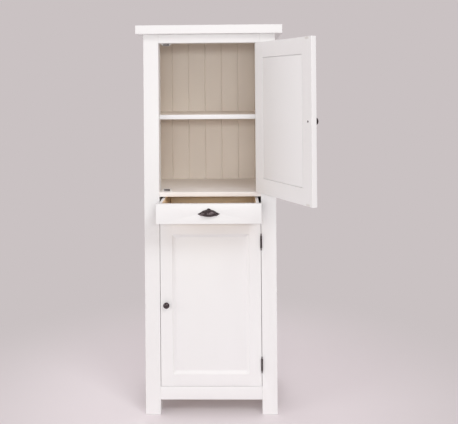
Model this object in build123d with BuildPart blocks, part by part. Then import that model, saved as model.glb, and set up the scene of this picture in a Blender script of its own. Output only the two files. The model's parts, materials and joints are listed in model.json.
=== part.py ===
from build123d import *
import os

# Tall painted cupboard: one framed door over one drawer over a second framed door.
# Millimetres. +X is the hinge side, -Y the front, +Z up. The origin is on the floor,
# midway between the four feet. It is built as it stands: upper door open, drawer drawn.

# ---- Carcass: driving dimensions -------------------------------------------------
HEIGHT = 1800.0            # floor to the top of the top board
BODY_WIDTH = 610.0         # over the posts
BODY_DEPTH = 466.0         # front of the posts to the rear of the back boards
POST = 70.0                # square front post
SIDE_THICK = 22.0          # rear legs and side rails, across the cabinet
REAR_LEG = 70.0            # rear leg, front to back
TOP_THICK = 40.0
OVERHANG = 32.0            # top board past the posts, at the front and both sides
LEG_CLEAR = 69.0           # floor to the underside of the bottom rails
BOTTOM_RAIL = 61.0         # height of the bottom rails
TOP_RAIL = 41.0            # height of the top front rail
TOP_RAIL_DEPTH = 45.0      # deep enough to carry the upper catch
RAIL_DEPTH = 24.0          # bottom rails, front to back
SIDE_TOP_RAIL = 70.0
BOARD = 21.0               # floors and shelves
LOWER_OPENING = 759.0      # height of the lower door's opening
DRAWER_OPENING = 98.0      # height of the drawer's opening
UPPER_SHELF_RISE = 336.0   # upper floor to the underside of the upper shelf
LOWER_SHELF_RISE = 370.0   # lower floor to the underside of the lower shelf
SHELF_SETBACK = 30.0       # shelf's front edge behind the front of the posts
BACK_BOARDS = 7
BACK_THICK = 15.0
BOARD_TONGUE = 6.0         # how far a back board's tongue stands out
TONGUE_THICK = 5.0
JOINT_GAP = 0.5            # tongue short of the bottom of its groove
V_JOINT = 3.0              # chamfer on the show side of each back board
SIDE_PANEL = 10.0          # thickness of the side panels
PANEL_SET_IN = 6.0         # side panel's face behind the face of its frame
GROOVE = 8.0               # depth of every panel groove
TENON = 26.0               # tenon length
TENON_THICK = 12.0
TENON_SHOULDER = 7.0       # above and below a tenon
CLEAT = 22.0               # square strips that carry the boards
FIT = 0.3                  # between a notched board and what it is notched round
EASE = 1.5                 # softened arrises

# ---- Doors ------------------------------------------------------------------------
GAP = 2.0                  # round each door and the drawer front
DOOR_THICK = 23.0
MEMBER = 70.0              # width of stiles and door rails
MOULDING = 15.0            # sloping inner edge of the members, across
MOULDING_DEPTH = 7.0       # and into the door
PANEL_RECESS = 9.0         # door panel's outer face behind the frame's
PANEL_TONGUE = 6.0         # thickness of the panel's edge in its groove
PANEL_INNER = 0.6          # panel's inner face short of the frame's
SHADOW_GAP = 1.2           # round the panel's inner field
SHADOW_GAP_TOP = 2.6
PANEL_FLOAT = 1.0          # panel edge short of the bottom of its groove
DOOR_EASE = 1.0
UPPER_DOOR_OPEN = 117.65   # degrees

# ---- Hinges -----------------------------------------------------------------------
HINGE_PROUD = 3.5          # pin centre in front of the door's face
HINGE_FROM_TOP = 89.0      # hinge centre to the door's end
HINGE_FROM_BOTTOM = 99.0
KNUCKLE_R = 4.5
KNUCKLES = 5
BARREL = 54.0              # length of the knuckles together
PIN_R = 2.0
PIN_RUN = 0.06             # running clearance of a door knuckle on its pin
FINIAL = 14.0              # height of each pointed finial
FINIAL_COLLAR = 2.8        # of which its straight collar
FINIAL_R = 3.2
FINIAL_TIP_R = 0.6
LEAF_REACH = 19.0          # leaf behind the door's face
LEAF_THICK = 1.8
LEAF_PART = 0.1            # half of the space between closed leaves
KNUCKLE_RUN = 0.3          # between neighbouring knuckles
BARREL_CLEAR = 0.6         # round the barrel, in the post and the stile

# ---- Knobs, strikes and catches ---------------------------------------------------
KNOB_R = 14.5
KNOB_OUT = 25.0
KNOB_FOOT_R = 8.0
KNOB_FOOT = 2.0            # thickness of the foot
KNOB_NECK_R = 5.5
KNOB_NECK_AT = 8.5         # height of the narrowest place
KNOB_RIM_AT = 16.0         # height of the widest place
KNOB_SHOULDER_R = 11.6     # where the rim rounds over to the face
KNOB_SHOULDER_AT = 22.0
KNOB_FROM_EDGE = 28.0
KNOB_BORE_R = 2.05
KNOB_BORE = 10.0           # depth of the knob's screw hole
SCREW_R = 2.0
SCREW_HEAD_R = 4.2
SCREW_HEAD = 1.6
CATCH_FROM_EDGE = 33.0     # catch centre from the opening's edge
CATCH_WIDTH = 48.0
CATCH_HEIGHT = 12.0
CATCH_DEPTH = 16.0
MAGNET_WIDTH = 27.0
MAGNET_HEIGHT = 9.0
MAGNET_PROUD = 1.0
STRIKE_WIDTH = 27.0
STRIKE_HEIGHT = 9.0
STRIKE_THICK = 1.2
STRIKE_FROM_END = 1.0
CATCH_GAP = 0.4            # magnet to strike with the door shut

# ---- Drawer -----------------------------------------------------------------------
DRAWER_OUT = 152.5         # how far the drawer stands open
DRAWER_FRONT = 22.0        # thickness
DRAWER_HEADROOM = 7.0      # drawer front's top to the board over it
DRAWER_WALL = 14.0
DRAWER_BOX = 400.0         # length of the sides
DRAWER_WALL_HEIGHT = 84.0
DRAWER_WALL_RISE = 5.0     # side's lower edge above the front's
DRAWER_BOTTOM = 6.0
BOTTOM_RISE = 10.0         # drawer bottom above the sides' lower edges
BOTTOM_GROOVE = 6.0
SLIDE_SPACE = 13.0         # opening's edge to the drawer side
SLIDE_LENGTH = 400.0
SLIDE_SETBACK = 2.0        # slide behind the drawer front's rear face
SHEET = 1.2                # slide steel
# Each channel: off the opening's edge, depth and height.
OUTER_CHANNEL = (0.0, 11.0, 45.0)
MIDDLE_CHANNEL = (2.2, 8.0, 38.0)
INNER_CHANNEL = (5.0, 8.0, 30.0)

# ---- Cup pull ---------------------------------------------------------------------
PULL_WIDTH = 98.0
PULL_PLATE = 2.0
PULL_POINT = 25.0          # top point above the tips
PULL_POINT_HALF = 10.0     # half the width of the top point
PULL_SKIRT = 9.0           # plate below the tips
PULL_MARGIN = 1.0          # plate round the cup
CUP_HALF_WIDTH = 36.0
CUP_R = 18.5
CUP_WALL = 2.0
CUP_SWEEP = 122.0          # degrees, from straight up to the lip
PULL_SCREW_X = 42.0
PULL_SCREW_R = 1.6
PULL_SCREW_HEAD_R = 2.6
PULL_SCREW_HEAD = 1.1
PULL_SCREW_LENGTH = 14.0

# ---- Worked-out places ------------------------------------------------------------
FRONT = -BODY_DEPTH / 2
BACK = BODY_DEPTH / 2
BOARDS_FACE = BACK - BACK_THICK
POST_REAR = FRONT + POST
LEG_FRONT = BOARDS_FACE - REAR_LEG
OUTSIDE = BODY_WIDTH / 2
OPENING = OUTSIDE - POST                        # half the opening's width
SIDE_INSIDE = OUTSIDE - SIDE_THICK
PANEL_INSIDE = OUTSIDE - PANEL_SET_IN - SIDE_PANEL
TOP_UNDER = HEIGHT - TOP_THICK
RAIL_UNDER = TOP_UNDER - TOP_RAIL
SILL = LEG_CLEAR + BOTTOM_RAIL
DIVIDER = SILL + LOWER_OPENING
DRAWER_SILL = DIVIDER + BOARD
UPPER_FLOOR = DRAWER_SILL + DRAWER_OPENING
UPPER_SILL = UPPER_FLOOR + BOARD
DOOR_WIDTH = 2 * (OPENING - GAP)
HINGE_X = OPENING - GAP / 2
HINGE_Y = FRONT - HINGE_PROUD
DRAWER_FACE = FRONT - DRAWER_OUT
STANDING = (Align.CENTER, Align.CENTER, Align.MIN)

os.makedirs("parts", exist_ok=True)


def keep(piece, name):
    """Label a finished piece and write it."""
    piece.part.label = name
    export_step(piece.part, f"parts/{name}.step")


# ---- Rails of the carcass ---------------------------------------------------------
def cross_rail(z_low, height, y_front, depth):
    """A rail from side to side, with a tenon at each end."""
    with BuildPart() as rail:
        with BuildSketch(Plane.XY.offset(z_low)):
            with Locations((0, y_front + depth / 2)):
                Rectangle(2 * OPENING, depth)
        extrude(amount=height)
        with BuildSketch(Plane.XY.offset(z_low + TENON_SHOULDER)):
            with Locations((0, y_front + depth / 2)):
                Rectangle(2 * (OPENING + TENON), TENON_THICK)
        extrude(amount=height - 2 * TENON_SHOULDER)
    return rail


top_rail = cross_rail(RAIL_UNDER, TOP_RAIL, FRONT, TOP_RAIL_DEPTH)
keep(top_rail, "top_rail")
bottom_rail = cross_rail(LEG_CLEAR, BOTTOM_RAIL, FRONT, RAIL_DEPTH)
keep(bottom_rail, "bottom_rail")

# The rear bottom rail stands between the thin rear legs, so it is longer, with no tenons.
with BuildPart() as rear_bottom_rail:
    with BuildSketch(Plane.XY.offset(LEG_CLEAR)):
        with Locations((0, BOARDS_FACE - RAIL_DEPTH / 2)):
            Rectangle(2 * SIDE_INSIDE, RAIL_DEPTH)
    extrude(amount=BOTTOM_RAIL)
keep(rear_bottom_rail, "rear_bottom_rail")

# ---- Framed sides: panels, rails and rear legs ------------------------------------
side_pieces = {}
for side, hand in ((-1, "left"), (1, "right")):
    panel_low = SILL - GROOVE
    panel_high = TOP_UNDER - SIDE_TOP_RAIL + GROOVE
    side_run = LEG_FRONT - POST_REAR
    side_middle = (LEG_FRONT + POST_REAR) / 2
    rail_x = side * (OUTSIDE - SIDE_THICK / 2)

    with BuildPart() as side_panel:
        with BuildSketch(Plane.XY.offset(panel_low)):
            with Locations((side * (PANEL_INSIDE + SIDE_PANEL / 2), side_middle)):
                Rectangle(SIDE_PANEL, side_run + 2 * GROOVE)
        extrude(amount=panel_high - panel_low)
    keep(side_panel, f"side_panel_{hand}")

    side_rails = []
    for level, z_low, height in (
        ("top", TOP_UNDER - SIDE_TOP_RAIL, SIDE_TOP_RAIL),
        ("bottom", LEG_CLEAR, BOTTOM_RAIL),
    ):
        with BuildPart() as side_rail:
            with BuildSketch(Plane.XY.offset(z_low)):
                with Locations((rail_x, side_middle)):
                    Rectangle(SIDE_THICK, side_run)
            extrude(amount=height)
            with BuildSketch(Plane.XY.offset(z_low + TENON_SHOULDER + GROOVE)):
                with Locations((rail_x, side_middle)):
                    Rectangle(SIDE_PANEL, side_run + 2 * TENON)
            extrude(amount=height - 2 * (TENON_SHOULDER + GROOVE))
            add(side_panel.part, mode=Mode.SUBTRACT)
        keep(side_rail, f"side_{level}_rail_{hand}")
        side_rails.append(side_rail)

    with BuildPart() as rear_leg:
        with BuildSketch():
            with Locations((rail_x, BOARDS_FACE - REAR_LEG / 2)):
                Rectangle(SIDE_THICK, REAR_LEG)
        extrude(amount=TOP_UNDER)
        chamfer(rear_leg.faces().sort_by(Axis.Z)[0].edges(), length=EASE)
        for joined in [side_panel] + side_rails:
            add(joined.part, mode=Mode.SUBTRACT)
    keep(rear_leg, f"rear_leg_{hand}")
    side_pieces[hand] = [side_panel] + side_rails


# ---- Hinges: where they stand, and the room they need -----------------------------
def door_plane(opened):
    """Plane on the hinge axis: x along the door, y outwards from its face, z up."""
    swing = Axis((HINGE_X, HINGE_Y, 0), (0, 0, 1))
    closed = Plane(origin=swing.position, x_dir=(-1, 0, 0), z_dir=(0, 0, 1))
    return closed.rotated((0, 0, opened))


def hinge_heights(z_low, z_high):
    return (z_low + HINGE_FROM_BOTTOM, z_high - HINGE_FROM_TOP)


UPPER_DOOR = (UPPER_SILL + GAP, RAIL_UNDER - GAP)
LOWER_DOOR = (SILL + GAP, DIVIDER - GAP)
CLOSED = door_plane(0)


def leaf_rectangle(toward_door, extra=0.0):
    """A leaf's outline seen from above, in the door plane; extra grows it for a pocket."""
    reach = HINGE_PROUD + LEAF_REACH + extra
    middle = toward_door * (LEAF_PART + LEAF_THICK / 2)
    with Locations((middle, -reach / 2)):
        Rectangle(LEAF_THICK, reach)


def hinge_room(plane, heights, toward_door):
    """The pockets that the leaves lie in and the scoops that clear the barrels."""
    with BuildPart(plane) as room:
        for z in heights:
            with BuildSketch(plane.offset(z - BARREL / 2 - KNUCKLE_RUN)):
                leaf_rectangle(toward_door, FIT)
                Circle(KNUCKLE_R + BARREL_CLEAR)
            extrude(amount=BARREL + 2 * KNUCKLE_RUN)
    return room


def hinge_leaves(plane, heights, toward_door, bore_r):
    """One leaf per hinge. The frame's leaf has the odd knuckles, the door's the even."""
    knuckle = BARREL / KNUCKLES
    first = 0 if toward_door < 0 else 1
    with BuildPart(plane) as leaves:
        for z in heights:
            low = z - BARREL / 2
            with BuildSketch(plane.offset(low)):
                leaf_rectangle(toward_door)
            extrude(amount=BARREL)
            for number in range(KNUCKLES):
                own = number % 2 == first
                middle = low + knuckle * (number + 0.5)
                with Locations((0, 0, middle)):
                    if own:
                        Cylinder(KNUCKLE_R, knuckle - KNUCKLE_RUN)
                    else:
                        Cylinder(KNUCKLE_R + BARREL_CLEAR, knuckle, mode=Mode.SUBTRACT)
            with Locations((0, 0, z)):
                Cylinder(bore_r, BARREL + 2, mode=Mode.SUBTRACT)
    return leaves


frame_hinge_heights = hinge_heights(*UPPER_DOOR) + hinge_heights(*LOWER_DOOR)
keep(hinge_leaves(CLOSED, frame_hinge_heights, -1, PIN_R), "hinge_frame_leaves")

# Each pin is a rod with a pointed finial at both ends.
with BuildPart(CLOSED) as hinge_pins:
    for z in frame_hinge_heights:
        with Locations((0, 0, z)):
            Cylinder(PIN_R, BARREL)
            for end, tilt in ((BARREL / 2, 0), (-BARREL / 2, 180)):
                with Locations(Location((0, 0, end), (tilt, 0, 0))):
                    Cylinder(FINIAL_R, FINIAL_COLLAR, align=STANDING)
                    with Locations((0, 0, FINIAL_COLLAR)):
                        Cone(FINIAL_R, FINIAL_TIP_R, FINIAL - FINIAL_COLLAR, align=STANDING)
keep(hinge_pins, "hinge_pins")

# ---- Front posts ------------------------------------------------------------------
frame_hinge_room = hinge_room(CLOSED, frame_hinge_heights, -1)
for side, hand in ((-1, "left"), (1, "right")):
    joined = [top_rail, bottom_rail] + side_pieces[hand]
    if side > 0:
        joined.append(frame_hinge_room)
    with BuildPart() as post:
        with BuildSketch():
            with Locations((side * (OUTSIDE - POST / 2), FRONT + POST / 2)):
                RectangleRounded(POST, POST, EASE)
        extrude(amount=TOP_UNDER)
        chamfer(post.faces().sort_by(Axis.Z)[0].edges(), length=EASE)
        for piece in joined:
            add(piece.part, mode=Mode.SUBTRACT)
    keep(post, f"front_post_{hand}")

# ---- Back boards: tongue and groove, with a V joint on the show side ---------------
board_pitch = BODY_WIDTH / BACK_BOARDS
for number in range(BACK_BOARDS):
    left = -OUTSIDE + number * board_pitch
    has_groove = number > 0
    has_tongue = number < BACK_BOARDS - 1
    with BuildPart() as back_board:
        with BuildSketch(Plane.XY.offset(LEG_CLEAR)) as board_face:
            with Locations((left + board_pitch / 2, BACK - BACK_THICK / 2)):
                Rectangle(board_pitch, BACK_THICK)
            chamfer(board_face.vertices().group_by(Axis.Y)[0], length=V_JOINT)
            if has_groove:
                with Locations((left, BACK - BACK_THICK / 2)):
                    Rectangle(2 * (BOARD_TONGUE + JOINT_GAP), TONGUE_THICK, mode=Mode.SUBTRACT)
            if has_tongue:
                with Locations((left + board_pitch, BACK - BACK_THICK / 2)):
                    Rectangle(2 * BOARD_TONGUE, TONGUE_THICK)
        extrude(amount=TOP_UNDER - LEG_CLEAR)
    keep(back_board, f"back_board_{number + 1}")

# ---- Top board --------------------------------------------------------------------
with BuildPart() as top_board:
    with BuildSketch(Plane.XY.offset(TOP_UNDER)):
        with Locations((0, (FRONT - OVERHANG + BACK) / 2)):
            RectangleRounded(BODY_WIDTH + 2 * OVERHANG, BODY_DEPTH + OVERHANG, EASE)
    extrude(amount=TOP_THICK)
    chamfer(top_board.faces().filter_by(Axis.Z).edges(), length=DOOR_EASE)
keep(top_board, "top_board")


# ---- Floors and shelves: boards notched round the posts and the rear legs ----------
def notched_board(z_low, y_front, half_width):
    with BuildPart() as board:
        with BuildSketch(Plane.XY.offset(z_low)):
            with Locations((0, (y_front + BOARDS_FACE) / 2)):
                Rectangle(2 * half_width, BOARDS_FACE - y_front)
            for side in (-1, 1):
                with Locations((side * (OUTSIDE - POST / 2), FRONT + POST / 2)):
                    Rectangle(POST + 2 * FIT, POST + 2 * FIT, mode=Mode.SUBTRACT)
                with Locations((side * (OUTSIDE - SIDE_THICK / 2), BOARDS_FACE - REAR_LEG / 2)):
                    Rectangle(SIDE_THICK + 2 * FIT, REAR_LEG + 2 * FIT, mode=Mode.SUBTRACT)
        extrude(amount=BOARD)
    return board


UPPER_SHELF = UPPER_SILL + UPPER_SHELF_RISE
LOWER_SHELF = SILL + LOWER_SHELF_RISE
for name, z_low, y_front, half_width in (
    ("upper_floor", UPPER_FLOOR, FRONT, PANEL_INSIDE - FIT),
    ("drawer_divider", DIVIDER, FRONT, PANEL_INSIDE - FIT),
    ("upper_shelf", UPPER_SHELF, FRONT + SHELF_SETBACK, PANEL_INSIDE - FIT),
    ("lower_shelf", LOWER_SHELF, FRONT + SHELF_SETBACK, PANEL_INSIDE - FIT),
):
    keep(notched_board(z_low, y_front, half_width), name)

# The lower floor lies between the bottom rails, its top level with theirs.
with BuildPart() as lower_floor:
    add(notched_board(SILL - BOARD, FRONT + RAIL_DEPTH, SIDE_INSIDE - FIT).part)
    add(rear_bottom_rail.part, mode=Mode.SUBTRACT)
keep(lower_floor, "lower_floor")

# ---- Cleats under the boards, and the battens that carry the slides ----------------
cleat_run = LEG_FRONT - POST_REAR
cleat_y = (LEG_FRONT + POST_REAR) / 2
with BuildPart() as shelf_cleats:
    for z_top, wall in (
        (UPPER_SHELF, PANEL_INSIDE),
        (DIVIDER, PANEL_INSIDE),
        (LOWER_SHELF, PANEL_INSIDE),
        (SILL - BOARD, SIDE_INSIDE),
    ):
        with BuildSketch(Plane.XY.offset(z_top - CLEAT)):
            with Locations((wall - CLEAT / 2, cleat_y), (CLEAT / 2 - wall, cleat_y)):
                Rectangle(CLEAT, cleat_run)
        extrude(amount=CLEAT)
keep(shelf_cleats, "shelf_cleats")

batten_thick = PANEL_INSIDE - OPENING
with BuildPart() as slide_battens:
    with BuildSketch(Plane.XY.offset(DRAWER_SILL)):
        for side in (-1, 1):
            with Locations((side * (OPENING + batten_thick / 2), cleat_y)):
                Rectangle(batten_thick, cleat_run)
    extrude(amount=DRAWER_OPENING)
keep(slide_battens, "slide_battens")

# ---- Magnetic catches, one above and one below each door's free corners -------------
catch_x = -(OPENING - CATCH_FROM_EDGE)
magnet_face = FRONT + DOOR_THICK + STRIKE_THICK + CATCH_GAP
catch_front = magnet_face + MAGNET_PROUD
CATCH_LEVELS = (
    SILL + CATCH_HEIGHT / 2,
    DIVIDER - CATCH_HEIGHT / 2,
    UPPER_SILL + CATCH_HEIGHT / 2,
    RAIL_UNDER - CATCH_HEIGHT / 2,
)
with BuildPart() as catch_magnets:
    with Locations(*[(catch_x, magnet_face, z) for z in CATCH_LEVELS]):
        Box(MAGNET_WIDTH, CATCH_DEPTH / 2, MAGNET_HEIGHT,
            align=(Align.CENTER, Align.MIN, Align.CENTER))
keep(catch_magnets, "catch_magnets")

with BuildPart() as catch_bodies:
    with Locations(*[(catch_x, catch_front, z) for z in CATCH_LEVELS]):
        Box(CATCH_WIDTH, CATCH_DEPTH, CATCH_HEIGHT,
            align=(Align.CENTER, Align.MIN, Align.CENTER))
    fillet(catch_bodies.edges().filter_by(Axis.Z), radius=EASE)
    add(catch_magnets.part, mode=Mode.SUBTRACT)
keep(catch_bodies, "catch_bodies")


# ---- Framed doors -----------------------------------------------------------------
def member_section(place):
    """Corners of a stile's or rail's section, from its outer edge (a) and its face (t)."""
    corners = (
        (DOOR_EASE, 0),
        (MEMBER - MOULDING, 0),
        (MEMBER, MOULDING_DEPTH),
        (MEMBER, PANEL_RECESS),
        (MEMBER - GROOVE, PANEL_RECESS),
        (MEMBER - GROOVE, PANEL_RECESS + PANEL_TONGUE),
        (MEMBER, PANEL_RECESS + PANEL_TONGUE),
        (MEMBER, DOOR_THICK),
        (DOOR_EASE, DOOR_THICK),
        (0, DOOR_THICK - DOOR_EASE),
        (0, DOOR_EASE),
    )
    return [place(a, t) for a, t in corners]


def framed_door(name, opened, z_low, z_high):
    plane = door_plane(opened)
    height = z_high - z_low
    hinge_edge = GAP / 2
    free_edge = GAP / 2 + DOOR_WIDTH
    face = -HINGE_PROUD
    knob_u = free_edge - KNOB_FROM_EDGE
    knob_z = (z_low + z_high) / 2
    heights = hinge_heights(z_low, z_high)
    along = plane.x_dir
    out = Vector(0, 0, 1).cross(along)

    def point(u, v, z):
        return plane.from_local_coords(Vector(u, v, z))

    # Stiles run the full height.
    with BuildPart() as hinge_stile:
        with BuildSketch(plane.offset(z_low)):
            Polygon(*member_section(lambda a, t: (hinge_edge + a, face - t)), align=None)
        extrude(amount=height)
        add(hinge_room(plane, heights, 1).part, mode=Mode.SUBTRACT)
    keep(hinge_stile, f"{name}_hinge_stile")

    knob_plane = Plane(origin=point(knob_u, face, knob_z), x_dir=along, z_dir=out)
    with BuildPart() as free_stile:
        with BuildSketch(plane.offset(z_low)):
            Polygon(*member_section(lambda a, t: (free_edge - a, face - t)), align=None)
        extrude(amount=height)
        with BuildSketch(knob_plane):
            Circle(SCREW_R + FIT)
        extrude(amount=-DOOR_THICK, mode=Mode.SUBTRACT)
    keep(free_stile, f"{name}_free_stile")

    # Rails are coped over the stiles' moulding, with a stub tenon in their groove.
    flat = MEMBER - MOULDING
    rail_plane = Plane(origin=point(hinge_edge + flat, 0, 0), x_dir=out, z_dir=along)
    for level, edge, inward in (("top", z_high, -1), ("bottom", z_low, 1)):
        with BuildPart() as rail:
            with BuildSketch(rail_plane):
                Polygon(*member_section(lambda a, t: (face - t, edge + inward * a)), align=None)
            extrude(amount=DOOR_WIDTH - 2 * flat)
            add(hinge_stile.part, mode=Mode.SUBTRACT)
            add(free_stile.part, mode=Mode.SUBTRACT)
        keep(rail, f"{name}_{level}_rail")

    # Flat panel: a thin edge in the grooves and a thicker field behind it.
    tongue_inset = MEMBER - GROOVE + PANEL_FLOAT
    middle_u = (hinge_edge + free_edge) / 2
    tongue_width = DOOR_WIDTH - 2 * tongue_inset
    field_width = DOOR_WIDTH - 2 * (MEMBER + SHADOW_GAP)
    field_low = z_low + MEMBER + SHADOW_GAP
    field_high = z_high - MEMBER - SHADOW_GAP_TOP
    panel_front = face - PANEL_RECESS
    field_back = face - DOOR_THICK + PANEL_INNER
    with BuildPart() as panel:
        with BuildSketch(plane.offset(z_low + tongue_inset)):
            with Locations((middle_u, panel_front - PANEL_TONGUE / 2)):
                Rectangle(tongue_width, PANEL_TONGUE)
        extrude(amount=height - 2 * tongue_inset)
        with BuildSketch(plane.offset(field_low)):
            with Locations((middle_u, (panel_front + field_back) / 2)):
                Rectangle(field_width, panel_front - field_back)
        extrude(amount=field_high - field_low)
    keep(panel, f"{name}_panel")

    # Turned knob on the outside, held by a screw from the inside.
    turning = Plane(origin=knob_plane.origin, x_dir=along, z_dir=plane.z_dir)
    with BuildPart() as knob:
        with BuildSketch(turning):
            with BuildLine():
                Line((0, 0), (KNOB_FOOT_R, 0))
                Line((KNOB_FOOT_R, 0), (KNOB_FOOT_R, KNOB_FOOT))
                Spline(
                    (KNOB_FOOT_R, KNOB_FOOT),
                    (KNOB_NECK_R, KNOB_NECK_AT),
                    (KNOB_R, KNOB_RIM_AT),
                )
                Spline(
                    (KNOB_R, KNOB_RIM_AT),
                    (KNOB_SHOULDER_R, KNOB_SHOULDER_AT),
                    (0, KNOB_OUT),
                    tangents=((0, 1), (-1, 0)),
                )
                Line((0, KNOB_OUT), (0, 0))
            make_face()
        revolve(axis=Axis(knob_plane.origin, out))
        with BuildSketch(knob_plane):
            Circle(KNOB_BORE_R)
        extrude(amount=KNOB_BORE, mode=Mode.SUBTRACT)
    keep(knob, f"{name}_knob")

    with BuildPart() as knob_screw:
        with BuildSketch(knob_plane.offset(-DOOR_THICK)):
            Circle(SCREW_R)
        extrude(amount=DOOR_THICK + KNOB_BORE - 1)
        with BuildSketch(knob_plane.offset(-DOOR_THICK)):
            Circle(SCREW_HEAD_R)
        extrude(amount=-SCREW_HEAD)
    keep(knob_screw, f"{name}_knob_screw")

    # Steel strikes that meet the magnets.
    strike_u = HINGE_X - catch_x
    strike_rise = STRIKE_FROM_END + STRIKE_HEIGHT / 2
    with BuildPart(plane) as strikes:
        with Locations(
            (strike_u, face - DOOR_THICK, z_low + strike_rise),
            (strike_u, face - DOOR_THICK, z_high - strike_rise),
        ):
            Box(STRIKE_WIDTH, STRIKE_THICK, STRIKE_HEIGHT,
                align=(Align.CENTER, Align.MAX, Align.CENTER))
    keep(strikes, f"{name}_strikes")

    keep(hinge_leaves(plane, heights, 1, PIN_R + PIN_RUN), f"{name}_hinge_leaves")


framed_door("upper_door", UPPER_DOOR_OPEN, *UPPER_DOOR)
framed_door("lower_door", 0, *LOWER_DOOR)

# ---- Drawer -----------------------------------------------------------------------
front_low = DRAWER_SILL + GAP
front_high = UPPER_FLOOR - DRAWER_HEADROOM
front_rear = DRAWER_FACE + DRAWER_FRONT
wall_low = front_low + DRAWER_WALL_RISE
wall_outside = OPENING - SLIDE_SPACE
box_rear = front_rear + DRAWER_BOX

with BuildPart() as drawer_bottom:
    with BuildSketch(Plane.XY.offset(wall_low + BOTTOM_RISE)):
        with Locations((0, (front_rear - BOTTOM_GROOVE + box_rear) / 2)):
            Rectangle(2 * (wall_outside - DRAWER_WALL + BOTTOM_GROOVE),
                      box_rear - front_rear + BOTTOM_GROOVE)
    extrude(amount=DRAWER_BOTTOM)
keep(drawer_bottom, "drawer_bottom")

with BuildPart() as drawer_back:
    with BuildSketch(Plane.XY.offset(wall_low + BOTTOM_RISE + DRAWER_BOTTOM)):
        with Locations((0, box_rear - DRAWER_WALL / 2)):
            Rectangle(2 * (wall_outside - DRAWER_WALL), DRAWER_WALL)
    extrude(amount=DRAWER_WALL_HEIGHT - BOTTOM_RISE - DRAWER_BOTTOM)
keep(drawer_back, "drawer_back")

for side, hand in ((-1, "left"), (1, "right")):
    with BuildPart() as drawer_side:
        with BuildSketch(Plane.XY.offset(wall_low)):
            with Locations((side * (wall_outside - DRAWER_WALL / 2), (front_rear + box_rear) / 2)):
                Rectangle(DRAWER_WALL, DRAWER_BOX)
        extrude(amount=DRAWER_WALL_HEIGHT)
        chamfer(drawer_side.faces().sort_by(Axis.Z)[-1].edges().filter_by(Axis.Y), length=DOOR_EASE)
        add(drawer_bottom.part, mode=Mode.SUBTRACT)
    keep(drawer_side, f"drawer_side_{hand}")

# The cup pull's screws, so that the front and the pull are drilled to them.
pull_z = (front_low + front_high) / 2
pull_front = Plane(origin=(0, DRAWER_FACE, pull_z), x_dir=(1, 0, 0), z_dir=(0, -1, 0))
with BuildPart() as cup_pull_screws:
    with BuildSketch(pull_front.offset(PULL_PLATE)):
        with GridLocations(2 * PULL_SCREW_X, 0, 2, 1):
            Circle(PULL_SCREW_R)
    extrude(amount=-PULL_SCREW_LENGTH)
    with BuildSketch(pull_front.offset(PULL_PLATE)):
        with GridLocations(2 * PULL_SCREW_X, 0, 2, 1):
            Circle(PULL_SCREW_HEAD_R)
    extrude(amount=PULL_SCREW_HEAD)
keep(cup_pull_screws, "cup_pull_screws")

with BuildPart() as drawer_front:
    with BuildSketch(Plane.XY.offset(front_low)):
        with Locations((0, DRAWER_FACE + DRAWER_FRONT / 2)):
            Rectangle(DOOR_WIDTH, DRAWER_FRONT)
    extrude(amount=front_high - front_low)
    chamfer(drawer_front.faces().sort_by(Axis.Y)[0].edges(), length=DOOR_EASE)
    add(drawer_bottom.part, mode=Mode.SUBTRACT)
    add(cup_pull_screws.part, mode=Mode.SUBTRACT)
keep(drawer_front, "drawer_front")

# Cup pull: a plate pointed at both sides and the top, and a hollow cup open below. The
# plate is a lozenge at each side, an ellipse round the cup, and a small peak.
pull_tip = PULL_WIDTH / 2
with BuildPart() as cup_pull:
    with BuildSketch(pull_front):
        Ellipse(CUP_HALF_WIDTH + PULL_MARGIN, CUP_R + PULL_MARGIN)
        with Locations((0, -PULL_SKIRT - CUP_R)):
            Rectangle(2 * PULL_WIDTH, 2 * CUP_R, mode=Mode.SUBTRACT)
        for side in (-1, 1):
            Polygon(
                (side * pull_tip, 0),
                (side * CUP_HALF_WIDTH, PULL_SKIRT),
                (0, PULL_SKIRT),
                (0, -PULL_SKIRT),
                (side * CUP_HALF_WIDTH, -PULL_SKIRT),
                align=None,
            )
        Polygon((-PULL_POINT_HALF, CUP_R - PULL_MARGIN), (PULL_POINT_HALF, CUP_R - PULL_MARGIN),
                (0, PULL_POINT), align=None)
    extrude(amount=PULL_PLATE)
    with BuildSketch(pull_front):
        Ellipse(CUP_HALF_WIDTH, CUP_R)
        Ellipse(CUP_HALF_WIDTH - CUP_WALL, CUP_R - CUP_WALL, mode=Mode.SUBTRACT)
        with Locations((0, -CUP_R)):
            Rectangle(2 * CUP_HALF_WIDTH, 2 * CUP_R, mode=Mode.SUBTRACT)
    revolve(axis=Axis(pull_front.origin, (1, 0, 0)), revolution_arc=CUP_SWEEP)
    with BuildSketch(pull_front):
        with GridLocations(2 * PULL_SCREW_X, 0, 2, 1):
            Circle(PULL_SCREW_R)
    extrude(amount=PULL_PLATE, mode=Mode.SUBTRACT)
keep(cup_pull, "cup_pull")

# ---- Drawer slides: three nested channels on each side ------------------------------
slide_z = (DRAWER_SILL + UPPER_FLOOR) / 2
slide_rear = FRONT + DRAWER_FRONT + SLIDE_SETBACK + SLIDE_LENGTH


def slide_channels(channel, web_on_wall, moved):
    """A channel on each side, its web towards the wall or towards the drawer."""
    off_wall, depth, height = channel
    section = Plane.XZ.offset(-(slide_rear - moved))
    with BuildPart() as channels:
        with BuildSketch(section):
            for side in (-1, 1):
                middle = OPENING - off_wall - depth / 2
                mouth = middle + (-SHEET if web_on_wall else SHEET)
                with Locations((side * middle, slide_z)):
                    Rectangle(depth, height)
                with Locations((side * mouth, slide_z)):
                    Rectangle(depth, height - 2 * SHEET, mode=Mode.SUBTRACT)
        extrude(amount=SLIDE_LENGTH)
    return channels


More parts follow.
